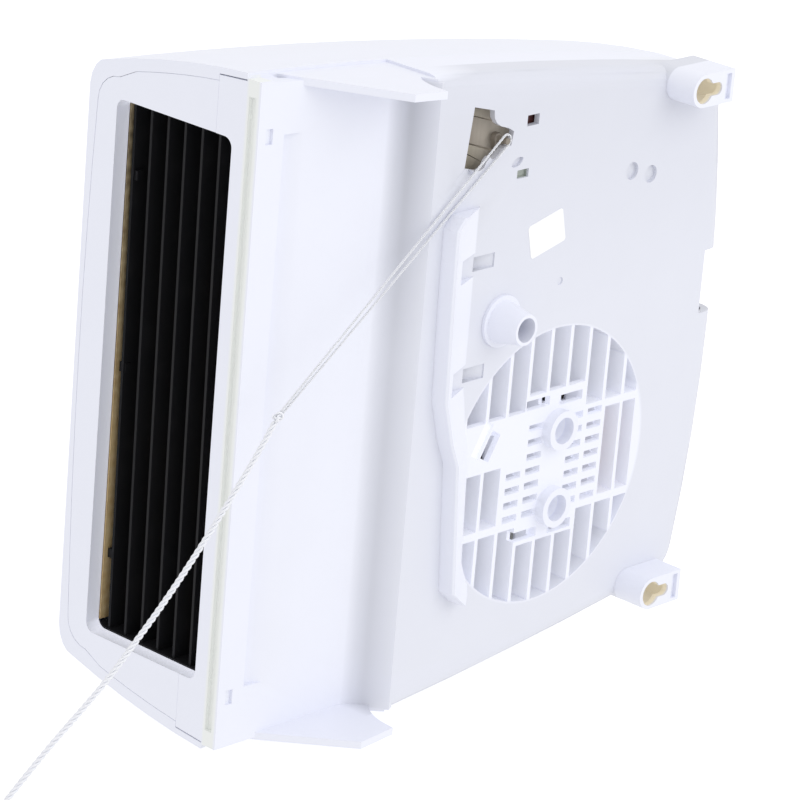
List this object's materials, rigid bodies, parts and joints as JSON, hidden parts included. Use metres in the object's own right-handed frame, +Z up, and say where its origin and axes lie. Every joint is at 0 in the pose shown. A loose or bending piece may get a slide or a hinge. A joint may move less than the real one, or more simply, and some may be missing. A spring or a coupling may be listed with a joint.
{
  "type": "bathroom wall fan heater",
  "caption": "Wall-hung bathroom fan heater that blows warm air downwards, with a pull-cord switch, a rear intake grille and a keyhole-mounted back.",
  "frame": {"origin": "on the wall plane, midway between the two keyhole mouths", "axes": "+X to the right seen from the front, +Y into the wall, +Z up"},
  "size_m": [0.2685, 0.1265, 0.409],
  "materials": {
    "casing": "semi-gloss white moulded plastic",
    "louvre": "satin black heat-resistant plastic",
    "fan_moulding": "pale grey heat-resistant plastic",
    "label": "blank white paper label",
    "lamination": "stacked steel laminations",
    "copper": "lacquered copper winding",
    "steel": "zinc-plated steel",
    "mica": "tan mica board",
    "resistance_wire": "oxidised resistance wire",
    "phenolic": "dark red-brown phenolic moulding",
    "fuse": "ceramic fuse body",
    "switch_case": "grey-brown moulded switch body",
    "lever": "grey-brown moulding",
    "cord": "white braided cord",
    "knob": "gloss white pull knob",
    "terminal": "natural nylon terminal block",
    "brass": "brass terminal screws",
    "wire": "silicone-insulated wire"
  },
  "bodies": {
    "heater": {"front_cover": "casing", "outlet_bezel": "casing", "outlet_louvre": "louvre", "rear_chassis": "casing", "blank_label": "label", "fan_scroll": "fan_moulding", "scroll_lid": "fan_moulding", "motor_stack": "lamination", "motor_coil": "copper", "rear_bearing_bracket": "steel", "front_bearing_bracket": "steel", "motor_screws": "steel", "scroll_screws": "steel", "cover_screw": "steel", "mica_frame": "mica", "heating_wire": "resistance_wire", "thermal_cutout": "phenolic", "thermal_fuse": "fuse", "switch_body": "switch_case", "switch_contacts": "phenolic", "lever_pin": "steel", "lever_spring": "steel", "switch_screws": "steel", "terminal_block": "terminal", "terminal_screws": "brass", "cable_clamp": "casing", "clamp_screws": "steel", "wiring": "wire"},
    "fan_wheel": {"impeller": "fan_moulding", "impeller_hub": "steel", "motor_shaft": "steel", "motor_rotor": "steel"},
    "pull_cord": {"upper_cord": "cord", "cord_knot": "cord", "lower_cord": "cord", "pull_knob": "knob"},
    "lever": {"switch_lever": "lever"}
  },
  "joints": [
    {"name": "fan_spin", "type": "hinge", "parent": "heater", "child": "fan_wheel", "pos_m": [-0.0435, -0.07, -0.054], "axis": [0, 1, 0], "continuous": true},
    {"name": "cord_pull", "type": "slide", "parent": "heater", "child": "pull_cord", "axis": [-0.6112, 0, -0.7915], "range_m": [0, 0.007], "stiffness_N_per_m": 250, "springref_m": -0.002},
    {"name": "lever_turn", "type": "hinge", "parent": "heater", "child": "lever", "pos_m": [0.08657, -0.018, -0.09588], "axis": [0, 1, 0], "range_deg": [0, 31]}
  ],
  "couplings": [
    {"joint": "lever_turn", "follows": "cord_pull", "rad_per_m": 76.923}
  ]
}
